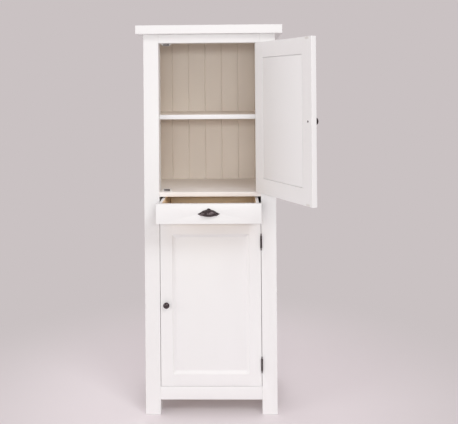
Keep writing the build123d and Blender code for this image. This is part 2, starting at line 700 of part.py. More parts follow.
keep(slide_channels(OUTER_CHANNEL, True, 0), "slide_outer_channels")
keep(slide_channels(MIDDLE_CHANNEL, True, DRAWER_OUT / 2), "slide_middle_channels")
keep(slide_channels(INNER_CHANNEL, False, DRAWER_OUT), "slide_inner_channels")
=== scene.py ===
import json
import math

import bmesh
import bpy
from mathutils import Matrix, Vector


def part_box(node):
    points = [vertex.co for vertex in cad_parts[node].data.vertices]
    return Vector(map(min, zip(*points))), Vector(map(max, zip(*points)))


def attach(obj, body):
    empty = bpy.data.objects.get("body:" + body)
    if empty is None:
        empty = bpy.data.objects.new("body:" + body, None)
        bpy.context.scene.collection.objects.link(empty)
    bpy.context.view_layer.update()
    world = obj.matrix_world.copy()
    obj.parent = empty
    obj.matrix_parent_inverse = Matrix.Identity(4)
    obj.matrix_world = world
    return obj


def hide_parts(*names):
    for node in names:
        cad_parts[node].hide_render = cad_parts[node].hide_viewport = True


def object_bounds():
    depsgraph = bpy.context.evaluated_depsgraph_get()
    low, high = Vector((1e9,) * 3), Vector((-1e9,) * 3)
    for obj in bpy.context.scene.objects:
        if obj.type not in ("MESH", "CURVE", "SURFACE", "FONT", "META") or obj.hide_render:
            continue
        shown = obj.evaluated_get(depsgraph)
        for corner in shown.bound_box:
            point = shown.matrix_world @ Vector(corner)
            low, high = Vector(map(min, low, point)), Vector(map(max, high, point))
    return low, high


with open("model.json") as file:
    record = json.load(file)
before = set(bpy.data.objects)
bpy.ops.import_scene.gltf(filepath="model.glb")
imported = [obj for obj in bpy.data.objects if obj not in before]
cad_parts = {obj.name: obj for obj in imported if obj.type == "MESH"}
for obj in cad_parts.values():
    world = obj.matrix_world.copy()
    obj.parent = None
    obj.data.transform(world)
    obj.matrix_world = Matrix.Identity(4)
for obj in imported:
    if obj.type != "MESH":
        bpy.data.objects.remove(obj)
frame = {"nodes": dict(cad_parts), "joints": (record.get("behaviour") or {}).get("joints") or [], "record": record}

# A tall painted cupboard: a framed door over one drawer over a second framed door.
# Metres. +X is the hinge side, -Y the front, +Z up. The doors are made as they hang when
# shut, and the upper one is then turned open about its hinge line.

cad_low, cad_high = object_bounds()
MM = 0.001
UP = Vector((0, 0, 1))
OUT = Vector((0, -1, 0))       # out of the front
ACROSS = Vector((1, 0, 0))

body_of = {}
for body_name, members in frame["record"]["behaviour"]["bodies"].items():
    for member in members:
        body_of[member] = body_name
joint_of = {joint["name"]: joint for joint in frame["joints"]}

# ---- Places read from the frame ------------------------------------------------------
hinge_line = Vector(joint_of["upper_door_hinge"]["pos_m"])
hinge_line.z = 0
upper_door_turn = -math.radians(joint_of["upper_door_hinge"]["range_deg"][0])


# ---- Workshop: selecting, drawing, shaping -------------------------------------------
def deselect():
    bpy.ops.object.select_all(action="DESELECT")


def pick(piece):
    deselect()
    piece.select_set(True)
    bpy.context.view_layer.objects.active = piece


def edit(piece):
    """Go into edit mode with the whole piece selected."""
    pick(piece)
    bpy.ops.object.mode_set(mode="EDIT")
    bpy.ops.mesh.select_all(action="SELECT")


def leave_edit():
    bpy.ops.object.mode_set(mode="OBJECT")


def choose_faces(wanted):
    """In edit mode, select only the faces whose middle and normal are wanted."""
    bpy.ops.mesh.select_all(action="DESELECT")
    bpy.ops.mesh.select_mode(type="FACE")
    mesh = bmesh.from_edit_mesh(bpy.context.edit_object.data)
    mesh.normal_update()
    for face in mesh.faces:
        face.select_set(wanted(face.calc_center_median(), face.normal))
    bmesh.update_edit_mesh(bpy.context.edit_object.data)


def choose_edges(wanted):
    """In edit mode, select only the edges whose middle and direction are wanted."""
    bpy.ops.mesh.select_all(action="DESELECT")
    bpy.ops.mesh.select_mode(type="EDGE")
    mesh = bmesh.from_edit_mesh(bpy.context.edit_object.data)
    for edge in mesh.edges:
        first, last = edge.verts[0].co, edge.verts[1].co
        edge.select_set(wanted((first + last) / 2, (last - first).normalized()))
    bmesh.update_edit_mesh(bpy.context.edit_object.data)


def apply_modifier(piece, kind, **settings):
    modifier = piece.modifiers.new(kind.lower(), kind)
    for setting, value in settings.items():
        setattr(modifier, setting, value)
    pick(piece)
    bpy.ops.object.modifier_apply(modifier=modifier.name)


def soften(piece, width, segments=3, angle=40):
    """Round over every arris sharper than the angle."""
    apply_modifier(piece, "BEVEL", width=width, segments=segments, limit_method="ANGLE",
                   angle_limit=math.radians(angle))


def cut(piece, *tools):
    """Take the shape of each tool out of the piece, and put the tool away."""
    for tool in tools:
        apply_modifier(piece, "BOOLEAN", operation="DIFFERENCE", solver="EXACT", object=tool)
        bpy.data.objects.remove(tool)


def block(name, low, high):
    """A block between two corners, ready to be shaped."""
    low, high = Vector(low), Vector(high)
    deselect()
    bpy.ops.mesh.primitive_cube_add(size=1, location=(low + high) / 2)
    piece = bpy.context.object
    piece.scale = high - low
    bpy.ops.object.transform_apply(location=True, rotation=True, scale=True)
    piece.name = name
    return piece


def rod(radius, length, middle, axis, sides=48):
    """A plain round tool for cutting with."""
    deselect()
    turn = axis.to_track_quat("Z", "Y").to_euler()
    bpy.ops.mesh.primitive_cylinder_add(radius=radius, depth=length, vertices=sides,
                                        location=middle, rotation=turn)
    bpy.ops.object.transform_apply(location=True, rotation=True, scale=True)
    return bpy.context.object


def bow(start, end, rise, steps=6):
    """Points of a shallow arc from start to end, standing out to the left by rise."""
    (x0, y0), (x1, y1) = start, end
    long = math.hypot(x1 - x0, y1 - y0)
    points = []
    for step in range(steps + 1):
        share = step / steps
        lift = rise * 4 * share * (1 - share) / long
        points.append((x0 + (x1 - x0) * share - (y1 - y0) * lift,
                       y0 + (y1 - y0) * share + (x1 - x0) * lift))
    return points


def quarter(start, end, steps=6):
    """Points of a quarter ellipse that leaves start along the first axis."""
    (x0, y0), (x1, y1) = start, end
    turns = [math.pi / 2 * step / steps for step in range(steps + 1)]
    return [(x0 + (x1 - x0) * math.sin(turn), y0 + (y1 - y0) * (1 - math.cos(turn)))
            for turn in turns]


def draw_line(name, corners):
    """A line drawn corner by corner. The piece is left in edit mode, all selected."""
    deselect()
    bpy.ops.mesh.primitive_plane_add(size=MM, location=corners[0])
    bpy.ops.object.transform_apply(location=True, rotation=True, scale=True)
    piece = bpy.context.object
    piece.name = name
    bpy.ops.object.mode_set(mode="EDIT")
    bpy.ops.mesh.select_mode(type="VERT")
    bpy.ops.mesh.select_all(action="SELECT")
    bpy.ops.mesh.merge(type="CENTER")
    for before, after in zip(corners, corners[1:]):
        bpy.ops.mesh.extrude_vertices_move(TRANSFORM_OT_translate={"value": after - before})
    bpy.ops.mesh.select_all(action="SELECT")
    return piece


def tidy_mesh():
    """In edit mode: weld what meets, and turn every face outwards."""
    bpy.ops.mesh.select_all(action="SELECT")
    bpy.ops.mesh.remove_doubles(threshold=0.02 * MM)
    bpy.ops.mesh.normals_make_consistent(inside=False)


def run_out(name, corners, run):
    """A closed outline filled in and run out along a straight line."""
    piece = draw_line(name, corners + corners[:1])
    bpy.ops.mesh.remove_doubles(threshold=0.02 * MM)
    bpy.ops.mesh.edge_face_add()
    bpy.ops.mesh.extrude_region_move(TRANSFORM_OT_translate={"value": run})
    tidy_mesh()
    leave_edit()
    return piece


def turned(name, profile, foot, axis, steps=40):
    """A piece turned on a lathe. The profile is (radius, height from the foot) in mm."""
    side = axis.orthogonal().normalized()
    corners = [foot + (side * radius + axis * height) * MM for radius, height in profile]
    piece = draw_line(name, corners)
    bpy.ops.mesh.spin(steps=steps, angle=math.tau, center=foot, axis=axis)
    tidy_mesh()
    leave_edit()
    return piece


def join(name, pieces):
    """Several meshes made one piece."""
    deselect()
    for piece in pieces:
        piece.select_set(True)
    bpy.context.view_layer.objects.active = pieces[0]
    if len(pieces) > 1:
        bpy.ops.object.join()
    pieces[0].name = name
    return pieces[0]


def copies(name, model, places):
    """Copies of a model, each with its own mesh, moved to their places and joined."""
    made = []
    for place in places:
        made.append(bpy.data.objects.new(name, model.data.copy()))
        made[-1].data.transform(place)
        bpy.context.scene.collection.objects.link(made[-1])
    bpy.data.objects.remove(model)
    return join(name, made)


def facing(point, out):
    """The place of a model made standing up at the origin, moved to point and laid along out."""
    return Matrix.Translation(point) @ out.to_track_quat("Z", "Y").to_matrix().to_4x4()


def strew(model, name, points, out):
    """Copies of a model that stands up at the origin, laid along out at each point."""
    return copies(name, model, [facing(point, out) for point in points])


def screw(name, head_r, head, shank_r, length, domed=True):
    """A cross-head screw, in mm: its head stands on the origin, its shank hangs below."""
    if domed:
        top = bow((head_r, head * 0.35), (0, head), head * 0.18)
    else:
        top = [(head_r, head), (0, head)]
    profile = [(0, -length), (shank_r * 0.5, -length + shank_r), (shank_r, -length + 2 * shank_r),
               (shank_r, 0), (head_r, 0)] + top
    piece = turned(name, profile, Vector((0, 0, 0)), UP, 24)
    arm, thin, deep = 0.62 * head_r * MM, 0.13 * head_r * MM, 0.5 * head * MM
    for wide, high in ((arm, thin), (thin, arm)):
        cut(piece, block("driver", (-wide, -high, head * MM - deep), (wide, high, 2 * head * MM)))
    return piece


# ---- Finishes ------------------------------------------------------------------------
def shade(red, green, blue):
    """A display colour, 0 to 255, as the linear colour that a shader takes."""
    def linear(value):
        value /= 255
        return value / 12.92 if value <= 0.04045 else ((value + 0.055) / 1.055) ** 2.4
    return (linear(red), linear(green), linear(blue), 1)


def finish(name, slot, metallic=0.0, specular=0.5):
    """A new finish on one of the record's material slots."""
    made = bpy.data.materials.new(name)
    made.use_nodes = True
    made["slot"] = slot
    shader = made.node_tree.nodes["Principled BSDF"]
    shader.inputs["Metallic"].default_value = metallic
    shader.inputs["Specular IOR Level"].default_value = specular
    return made


def node(made, kind, **values):
    """A shader node with its sockets set by name, an underscore standing for a space."""
    new = made.node_tree.nodes.new("ShaderNode" + kind)
    for socket, value in values.items():
        new.inputs[socket.replace("_", " ")].default_value = value
    return new


def wire(made, source, target):
    made.node_tree.links.new(source, target)


def pattern(made, scale, grain=None, turn=0.0, stretch=1.0, detail=4.0, distortion=0.0):
    """Noise on the piece's own coordinates, drawn out along the grain (0, 1 or 2 for x, y, z)."""
    place = node(made, "TexCoord")
    mapping = node(made, "Mapping")
    mapping.vector_type = "TEXTURE"
    mapping.inputs["Rotation"].default_value = (0, 0, turn)
    if grain is not None:
        mapping.inputs["Scale"].default_value[grain] = stretch
    noise = node(made, "TexNoise", Scale=scale, Detail=detail, Distortion=distortion)
    wire(made, place.outputs["Object"], mapping.inputs["Vector"])
    wire(made, mapping.outputs["Vector"], noise.inputs["Vector"])
    return noise.outputs["Fac"]


def colours(made, value, *stops):
    """Colour from a 0 to 1 pattern by stops of (position, colour)."""
    ramp = node(made, "ValToRGB")
    elements = ramp.color_ramp.elements
    for element, (position, colour) in zip(elements, (stops[0], stops[-1])):
        element.position = position
        element.color = colour
    for position, colour in stops[1:-1]:
        elements.new(position).color = colour
    wire(made, value, ramp.inputs["Fac"])
    return ramp.outputs["Color"]


def spread(made, value, low, high):
    """A 0 to 1 pattern turned into a value between low and high."""
    span = node(made, "MapRange", From_Min=0.3, From_Max=0.7, To_Min=low, To_Max=high)
    wire(made, value, span.inputs["Value"])
    return span.outputs["Result"]


def finish_with(made, colour, roughness, reliefs):
    """Join colour, roughness and the reliefs (pattern, strength, height in metres) to the shader."""
    shader = made.node_tree.nodes["Principled BSDF"]
    wire(made, colour, shader.inputs["Base Color"])
    wire(made, roughness, shader.inputs["Roughness"])
    below = None
    for relief, strength, height in reliefs:
        bump = node(made, "Bump", Strength=strength, Distance=height)
        wire(made, relief, bump.inputs["Height"])
        if below:
            wire(made, below, bump.inputs["Normal"])
        below = bump.outputs["Normal"]
    wire(made, below, shader.inputs["Normal"])
    return made


def paint(name, slot, light, dark, gloss, grain, turn=0.0):
    """Brushed paint over wood: faint grain standing through it, and brush marks along it."""
    made = finish(name, slot, specular=0.42)
    clouds = pattern(made, 2.2, grain, turn, stretch=3.0, detail=3)
    wood = pattern(made, 55, grain, turn, stretch=22.0, detail=7, distortion=0.4)
    brush = pattern(made, 420, grain, turn, stretch=40.0, detail=3)
    return finish_with(
        made,
        colours(made, clouds, (0.3, dark), (0.7, light)),
        spread(made, brush, gloss - 0.05, gloss + 0.06),
        [(wood, 0.22, 0.35 * MM), (brush, 0.16, 0.12 * MM)],
    )


def bare_wood(name, grain):
    """Lacquered pale wood with growth lines and fine pores."""
    made = finish(name, "drawer_wood", specular=0.4)
    growth = pattern(made, 34, grain, stretch=16.0, detail=8, distortion=1.1)
    pores = pattern(made, 520, grain, stretch=26.0, detail=4)
    return finish_with(
        made,
        colours(made, growth, (0.32, shade(242, 214, 178)), (0.5, shade(252, 229, 197)),
                (0.68, shade(247, 221, 187))),
        spread(made, pores, 0.38, 0.52),
        [(growth, 0.15, 0.2 * MM), (pores, 0.25, 0.12 * MM)],
    )


def metal(name, slot, light, dark, gloss, metallic=1.0, grain=None, stretch=1.0, cast=0.0):
    """Metal with uneven polish: brushed along a grain, or cast with a fine pitted skin."""
    made = finish(name, slot, metallic=metallic)
    cloud = pattern(made, 130, grain, stretch=stretch, detail=5)
    skin = pattern(made, 1500, grain, stretch=stretch, detail=3)
    lumps = pattern(made, 320, detail=2)
    return finish_with(
        made,
        colours(made, cloud, (0.3, dark), (0.7, light)),
        spread(made, cloud, gloss - 0.07, gloss + 0.09),
        [(skin, 0.2, 0.03 * MM), (lumps, cast, 0.25 * MM)],
    )


# Each paint: material slot, lighter and darker shade, roughness.
OUTSIDE = ("painted_outside", shade(240, 239, 239), shade(236, 235, 234), 0.42)
# The upper floor's paint is lighter than the outside paint: painted light, standing in for light that the
# compartment's floor doesn't get.
LIGHTENED_FLOOR_PAINT = ("painted_outside", shade(250, 245, 241), shade(246, 240, 235), 0.42)
INSIDE = ("painted_inside", shade(247, 238, 227), shade(241, 230, 218), 0.55)
paint_across = paint("paint_across", *OUTSIDE, grain=0)
paint_deep = paint("paint_deep", *OUTSIDE, grain=1)
paint_upright = paint("paint_upright", *OUTSIDE, grain=2)
paint_open_door = paint("paint_open_door", *OUTSIDE, grain=0, turn=upper_door_turn)
# Painted light: a lighter copy of the outside paint, for the upper floor only.
painted_light_floor = paint("painted_light_floor", *LIGHTENED_FLOOR_PAINT, grain=0)
inside_across = paint("inside_across", *INSIDE, grain=0)
inside_deep = paint("inside_deep", *INSIDE, grain=1)
inside_upright = paint("inside_upright", *INSIDE, grain=2)
wood_across = bare_wood("wood_across", 0)
wood_deep = bare_wood("wood_deep", 1)
black_iron = metal("black_iron", "black_iron", shade(96, 86, 88), shade(70, 62, 64), 0.21,
                   metallic=0.85, cast=0.03)
slide_steel = metal("slide_steel", "slide_steel", shade(112, 112, 116), shade(86, 86, 90), 0.34,
                    grain=1, stretch=30)
strike_steel = metal("strike_steel", "strike_steel", shade(236, 234, 231), shade(224, 222, 219),
                     0.42, metallic=0.35, grain=0, stretch=30)
magnet_steel = metal("magnet_steel", "magnet_steel", shade(138, 132, 130), shade(104, 99, 98), 0.38,
                     metallic=0.9)


def moulded_plastic():
    """White plastic with the fine grain of its mould."""
    made = finish("white_plastic", "white_plastic", specular=0.5)
    tone = pattern(made, 30, detail=2)
    skin = pattern(made, 2400, detail=2)
    return finish_with(
        made,
        colours(made, tone, (0.3, shade(236, 233, 229)), (0.7, shade(243, 241, 238))),
        spread(made, skin, 0.32, 0.42),
        [(skin, 0.2, 0.04 * MM)],
    )


white_plastic = moulded_plastic()


# ---- Fitting a piece to the cupboard ---------------------------------------------------
def mount(piece, node_name, coat, back=None, back_way=None, angle=32):
    """Shade and finish a piece, and let it move with the body of a piece of the frame.

    Faces that look along back_way take the second finish.
    """
    pick(piece)
    bpy.ops.object.shade_smooth_by_angle(angle=math.radians(angle))
    piece.data.materials.clear()
    piece.data.materials.append(coat)
    if back:
        piece.data.materials.append(back)
        for face in piece.data.polygons:
            face.material_index = 1 if face.normal.dot(back_way) > 0.5 else 0
    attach(piece, body_of[node_name])


def fit(piece, node_name, coat, *second_coat, angle=32):
    """Mount a piece in the place of the frame's plain one.

    A second coat is given as a finish and the way that its faces look.
    """
    mount(piece, node_name, coat, *second_coat, angle=angle)
    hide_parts(node_name)


def eased(node_name, width, coat, *second_coat):
    """A board of the frame with its arrises rounded over by a width in mm."""
    piece = bpy.data.objects.new(node_name + "_eased", frame["nodes"][node_name].data.copy())
    bpy.context.scene.collection.objects.link(piece)
    edit(piece)
    bpy.ops.mesh.remove_doubles(threshold=0.02 * MM)
    bpy.ops.mesh.dissolve_limited(angle_limit=math.radians(1))
    leave_edit()
    soften(piece, width * MM)
    fit(piece, node_name, coat, *second_coat)


# ---- Carcass ---------------------------------------------------------------------------
for hand, inwards in (("left", ACROSS), ("right", -ACROSS)):
    eased(f"front_post_{hand}", 1.2, paint_upright)
    eased(f"rear_leg_{hand}", 1.2, paint_upright, inside_upright, inwards)
    eased(f"side_panel_{hand}", 0.8, paint_upright, inside_upright, inwards)
    for level in ("top", "bottom"):
        eased(f"side_{level}_rail_{hand}", 1.0, paint_deep, inside_deep, inwards)
for rail in ("top_rail", "bottom_rail", "rear_bottom_rail"):
    eased(rail, 1.8, paint_across)
eased("top_board", 1.4, paint_across)
# The upper floor takes the lighter paint: painted light, making up for light that falls short inside the
# compartment.
eased("upper_floor", 1.0, painted_light_floor)
for board in ("drawer_divider", "upper_shelf", "lower_shelf"):
    eased(board, 1.0, inside_across, paint_across, OUT)
eased("lower_floor", 0.8, inside_across)
eased("shelf_cleats", 1.0, inside_deep)
eased("slide_battens", 0.8, wood_deep)
back_boards = sorted(name for name in frame["nodes"] if name.startswith("back_board_"))
for board in back_boards:
    eased(board, 0.5, paint_upright, inside_upright, OUT)

# ---- Doors -----------------------------------------------------------------------------
lower_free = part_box("lower_door_free_stile")
lower_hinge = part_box("lower_door_hinge_stile")
lower_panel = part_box("lower_door_panel")
door_free = lower_free[0].x
door_hung = lower_hinge[1].x
door_face = lower_free[0].y
door_thick = lower_free[1].y - door_face
member = lower_free[1].x - door_free           # width of stiles and rails
recess = lower_panel[0].y - door_face          # face of the panel behind the face of the frame
knob_x = (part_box("lower_door_knob")[0].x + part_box("lower_door_knob")[1].x) / 2
catch_low, catch_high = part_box("catch_bodies")
catch_x = (catch_low.x + catch_high.x) / 2
SLOPE = 13.8 * MM                              # moulding across the member
QUIRK = 1.7 * MM                               # step before the moulding
SLOPE_END = recess - 0.3 * MM                  # the slope stops just above the panel
TONGUE = 6.0 * MM                              # thickness of the panel's edge
GROOVE = 8.0 * MM                              # depth of the groove that holds it
ARRIS = 1.0 * MM                               # rounding of the member's outer arrises
STRIKE_LONG, STRIKE_HIGH, STRIKE_THICK = 27.0, 9.0, 1.2      # in mm
STRIKE_IN = 5.5                                # strike's middle from the door's edge, in mm


def member_outline():
    """A stile's or rail's section: distances from its outer edge and from its face."""
    inner, back = member, door_thick
    start = inner - SLOPE - QUIRK
    rebate = recess + TONGUE
    outline = quarter((ARRIS, 0), (0, ARRIS), 3)[::-1]
    outline += [(start, 0), (start, QUIRK)]
    outline += bow((start + 0.2 * MM, QUIRK), (inner - QUIRK, SLOPE_END), 0.5 * MM, 8)
    outline += [(inner, SLOPE_END), (inner, recess), (inner - GROOVE, recess)]
    outline += [(inner - GROOVE, rebate), (inner, rebate)]
    outline += [(inner, back - ARRIS), (inner - ARRIS, back), (ARRIS, back), (0, back - ARRIS)]
    return outline


# Hinges, in mm.
HINGE = 54.0                  # length of the five knuckles together
KNUCKLES = 5
KNUCKLE_R = 4.5
KNUCKLE_BORE = 2.1            # radius of the hole for the pin
KNUCKLE_EASE = 0.5            # rounding of a knuckle's ends
KNUCKLE_GAP = 0.15            # taken off each end of a knuckle
LEAF = 1.8                    # thickness of a leaf
LEAF_OFF = 0.1                # from the pin's plane to the leaf
LEAF_DEEP = 22.5
ROOM = 0.6                    # round a knuckle
POCKET_ROOM = 0.3             # round a leaf or a hinge
POCKET = 2.2                  # depth of a pocket from the pin's plane
LEAF_SIDE = 2.0               # how far the pocket's tool reaches past that plane
LEAF_SCREW_PITCH = 18.0
LEAF_SCREW_DEEP = 13.0        # the middle screw's distance from the pin
LEAF_SCREW_STAGGER = 3.5      # how much further back the outer two stand
LEAF_SCREW_R = 3.2
LEAF_SCREW_SINK = 0.42        # from the leaf's face to the underside of the head
LEAF_SCREW_RECESS = 0.45      # depth of the round recess for the head
LOWER_HINGE_UP = 99.0         # lower hinge above the door's bottom edge
UPPER_HINGE_DOWN = 89.0       # upper hinge below the door's top edge


def hinge_half(name, side):
    """Leaf, knuckles and screws of half a hinge on a pin line through the origin.

    Side is 1 for the post's half and -1 for the door's.
    """
    pitch = HINGE / KNUCKLES
    inner, outer = sorted((side * LEAF_OFF * MM, side * (LEAF_OFF + LEAF) * MM))
    leaf = block(name, (inner, 0, -HINGE / 2 * MM), (outer, LEAF_DEEP * MM, HINGE / 2 * MM))
    parts = [leaf]
    for number in range(KNUCKLES):
        low = -HINGE / 2 + number * pitch + KNUCKLE_GAP
        high = low + pitch - 2 * KNUCKLE_GAP
        if (number % 2 == 0) == (side > 0):
            rim = KNUCKLE_R - KNUCKLE_EASE
            profile = [(KNUCKLE_BORE, low), (rim, low), (KNUCKLE_R, low + KNUCKLE_EASE),
                       (KNUCKLE_R, high - KNUCKLE_EASE), (rim, high), (KNUCKLE_BORE, high),
                       (KNUCKLE_BORE, low)]
            parts.append(turned("knuckle", profile, Vector((0, 0, 0)), UP, 32))
        else:
            reach = (KNUCKLE_R + ROOM) * MM
            foot, top = (low - POCKET_ROOM) * MM, (high + POCKET_ROOM) * MM
            cut(leaf, block("notch", (-reach, -reach, foot), (reach, reach, top)))
    spots = []
    for step in (-1, 0, 1):
        deep = LEAF_SCREW_DEEP + LEAF_SCREW_STAGGER * abs(step)
        spots.append(Vector((side * LEAF_OFF, deep, step * LEAF_SCREW_PITCH)) * MM)
        cut(leaf, rod((LEAF_SCREW_R + 0.2) * MM, 2 * LEAF_SCREW_RECESS * MM, spots[-1], ACROSS, 24))
    soften(leaf, 0.25 * MM, 2)
    heads = strew(screw("leaf_screws", LEAF_SCREW_R, 0.4, 1.6, 14.0, domed=False), "leaf_screws",
                  [spot + ACROSS * side * LEAF_SCREW_SINK * MM for spot in spots], -side * ACROSS)
    return join(name, parts + [heads])


def pin_profile():
    """Half of a pin from its middle: the shank, a collar and the pointed finial."""
    collar = HINGE / 2
    finial_foot, finial_tip = collar + 4.4, collar + 13.4
    profile = [(2.0, 0), (2.0, collar)]
    profile += [(3.2, collar), (3.2, collar + 1.8), (2.4, collar + 2.4), (2.4, collar + 3.0)]
    profile += bow((3.0, finial_foot), (0.5, finial_tip), -0.5)
    profile += [(0, collar + 14)]
    return profile


def hinge_heights(z_low, z_high):
    """Heights of the two hinges of a door between its edges."""
    return (z_low + LOWER_HINGE_UP * MM, z_high - UPPER_HINGE_DOWN * MM)


door_heights = {name: tuple(corner.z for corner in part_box(f"{name}_free_stile"))
                for name in ("lower_door", "upper_door")}
all_hinges = [height for name in door_heights for height in hinge_heights(*door_heights[name])]


def at_height(height):
    """The place on the hinge line, at a height, of a model made at the origin."""
    return Matrix.Translation(hinge_line + UP * height)


def knob_profile():
    """Foot, waist, beaded rim and domed face of a knob, in mm."""
    profile = [(0, 0), (7.6, 0), (8.0, 0.5), (8.0, 1.5), (7.4, 2.0)]
    profile += bow((6.6, 2.4), (6.2, 12.0), 1.0)
    profile += bow((6.6, 12.6), (13.6, 15.4), -0.5)
    profile += [(14.3, 16.0), (14.5, 16.9), (14.2, 17.9), (13.4, 18.6), (12.6, 18.9), (12.1, 18.8)]
    profile += bow((11.8, 19.2), (0, 25.0), -1.6, 8)
    return profile


def strike_plate():
    """A small plate on a door's inner face, its back at the origin, with one screw."""
    long, high, thick = STRIKE_LONG * MM / 2, STRIKE_HIGH * MM / 2, STRIKE_THICK * MM
    plate = block("strike", (-long, 0, -high), (long, thick, high))
    edit(plate)
    choose_edges(lambda middle, way: abs(way.y) > 0.9)
    bpy.ops.mesh.bevel(offset=1.8 * MM, segments=4, affect="EDGES")
    leave_edit()
    soften(plate, 0.3 * MM, 2)
    cut(plate, rod(2.9 * MM, 1.0 * MM, Vector((0, thick, 0)), OUT, 24))
    head = strew(screw("strike_screw", 2.7, 0.5, 1.2, 11.0, domed=False), "strike_screw",
                 [Vector((0, 0.7 * MM, 0))], -OUT)
    return join("strike", [plate, head])


def framed_door(name, turn):
    """A door made as it hangs when shut, then turned open about the hinge line."""
    z_low, z_high = door_heights[name]
    place = (Matrix.Translation(hinge_line) @ Matrix.Rotation(turn, 4, "Z")
             @ Matrix.Translation(-hinge_line))
    rail_paint = paint_open_door if turn else paint_across
    outline = member_outline()
    hinges = hinge_heights(z_low, z_high)

    # Stiles and rails: one section, run out along each edge of the door.
    free_stile = run_out(f"{name}_free_stile_moulded",
                         [Vector((door_free + a, door_face + t, z_low)) for a, t in outline],
                         UP * (z_high - z_low))
    hinge_stile = run_out(f"{name}_hinge_stile_moulded",
                          [Vector((door_hung - a, door_face + t, z_low)) for a, t in outline],
                          UP * (z_high - z_low))
    rails = []
    butt = door_free + member - SLOPE - QUIRK
    for level, edge, inward in (("top", z_high, -1), ("bottom", z_low, 1)):
        rail = run_out(f"{name}_{level}_rail_moulded",
                       [Vector((butt, door_face + t, edge + inward * a)) for a, t in outline],
                       ACROSS * (door_hung - door_free - 2 * (butt - door_free)))
        for stile in (free_stile, hinge_stile):
            apply_modifier(rail, "BOOLEAN", operation="DIFFERENCE", solver="EXACT", object=stile)
        rails.append((rail, f"{name}_{level}_rail", rail_paint))

    # Pockets for the leaves and scoops for the knuckles.
    for height in hinges:
        barrel = hinge_line + UP * height
        half = (HINGE / 2 + POCKET_ROOM) * MM
        pocket_low = barrel + Vector((-POCKET * MM, 0, -half))
        pocket_high = barrel + Vector((LEAF_SIDE * MM, (LEAF_DEEP + POCKET_ROOM) * MM, half))
        cut(hinge_stile,
            rod((KNUCKLE_R + ROOM) * MM, 2 * half, barrel, UP),
            block("pocket", pocket_low, pocket_high))

    knob_low, knob_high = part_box(f"{name}_knob")
    knob_place = Vector((knob_x, door_face, (knob_low.z + knob_high.z) / 2))
    knob = turned(f"{name}_knob_turned", knob_profile(), knob_place, OUT, 48)
    knob_screw = screw(f"{name}_knob_screw_driven", head_r=4.2, head=1.6, shank_r=2.0, length=31.0)
    knob_screw.data.transform(facing(knob_place - OUT * door_thick, -OUT))
    strike_levels = (z_low + STRIKE_IN * MM, z_high - STRIKE_IN * MM)
    strikes = copies(f"{name}_strikes_pressed", strike_plate(),
                     [Matrix.Translation((catch_x, door_face + door_thick, level))
                      for level in strike_levels])
    leaves = copies(f"{name}_hinge_leaves_rolled", hinge_half("door_leaf", -1),
                    [at_height(height) for height in hinges])

    for piece, stands_for, coat in rails + [
        (free_stile, f"{name}_free_stile", paint_upright),
        (hinge_stile, f"{name}_hinge_stile", paint_upright),
        (knob, f"{name}_knob", black_iron),
        (knob_screw, f"{name}_knob_screw", black_iron),
        (strikes, f"{name}_strikes", strike_steel),
        (leaves, f"{name}_hinge_leaves", black_iron),
    ]:
        piece.data.transform(place)
        fit(piece, stands_for, coat)
    eased(f"{name}_panel", 0.5, paint_upright)


framed_door("lower_door", 0)
framed_door("upper_door", upper_door_turn)

# ---- Hinges on the post ------------------------------------------------------------------
frame_leaves = copies("hinge_frame_leaves_rolled", hinge_half("post_leaf", 1),
                      [at_height(height) for height in all_hinges])
fit(frame_leaves, "hinge_frame_leaves", black_iron)

half_pin = pin_profile()
whole_pin = [(radius, -height) for radius, height in half_pin[:0:-1]] + half_pin[1:]
pins = copies("hinge_pins_turned", turned("pin", whole_pin, Vector((0, 0, 0)), UP, 32),
              [at_height(height) for height in all_hinges])
fit(pins, "hinge_pins", black_iron)

# ---- Magnetic catches ----------------------------------------------------------------------
# In mm. Each catch is made standing on a floor; under a board it is turned over.
CATCH_HALF = 24.0             # half the width over the ears
CATCH_DEEP = 16.0
CATCH_HIGH = 12.0
HOUSING_HALF = 16.0           # half the width without the ears
EAR_HIGH = 4.5
EAR_SCREW_X, EAR_SCREW_Y = 20.0, 8.0
MOUTH_HALF, MOUTH_DEEP, MOUTH_RIM = 13.9, 8.3, 1.1           # the rim is over and under it
MAGNET_HALF, MAGNET_DEEP, MAGNET_RIM = 13.5, 7.0, 1.5
MAGNET_EDGE = 1.3             # thickness of the steel edges round the magnet
MAGNET_SINK = 0.7             # the magnet's face behind them
catch_levels = [
    (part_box("bottom_rail")[1].z, 0),
    (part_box("drawer_divider")[0].z, math.pi),
    (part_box("upper_floor")[1].z, 0),
    (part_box("top_rail")[0].z, math.pi),
]
catch_places = [Matrix.Translation((catch_x, catch_low.y, level)) @ Matrix.Rotation(turn, 4, "Y")
                for level, turn in catch_levels]


def catch_body():
    """A housing with an ear each side, standing on the origin's plane."""
    ear = CATCH_HALF - HOUSING_HALF
    body = block("catch", (-HOUSING_HALF * MM, 0, 0),
                 (HOUSING_HALF * MM, CATCH_DEEP * MM, CATCH_HIGH * MM))
    edit(body)
    bpy.ops.mesh.bisect(plane_co=(0, 0, EAR_HIGH * MM), plane_no=(0, 0, 1))
    for side in (-1, 1):
        choose_faces(lambda middle, normal: normal.x * side > 0.9 and middle.z < EAR_HIGH * MM)
        bpy.ops.mesh.extrude_region_move(
            TRANSFORM_OT_translate={"value": (side * ear * MM, 0, 0)})
    choose_edges(lambda middle, way: abs(way.z) > 0.9 and abs(middle.x) > (CATCH_HALF - 1) * MM)
    bpy.ops.mesh.bevel(offset=3 * MM, segments=5, affect="EDGES")
    leave_edit()
    cut(body, block("mouth", (-MOUTH_HALF * MM, -MM, MOUTH_RIM * MM),
                    (MOUTH_HALF * MM, MOUTH_DEEP * MM, (CATCH_HIGH - MOUTH_RIM) * MM)))
    soften(body, 0.7 * MM)
    return body


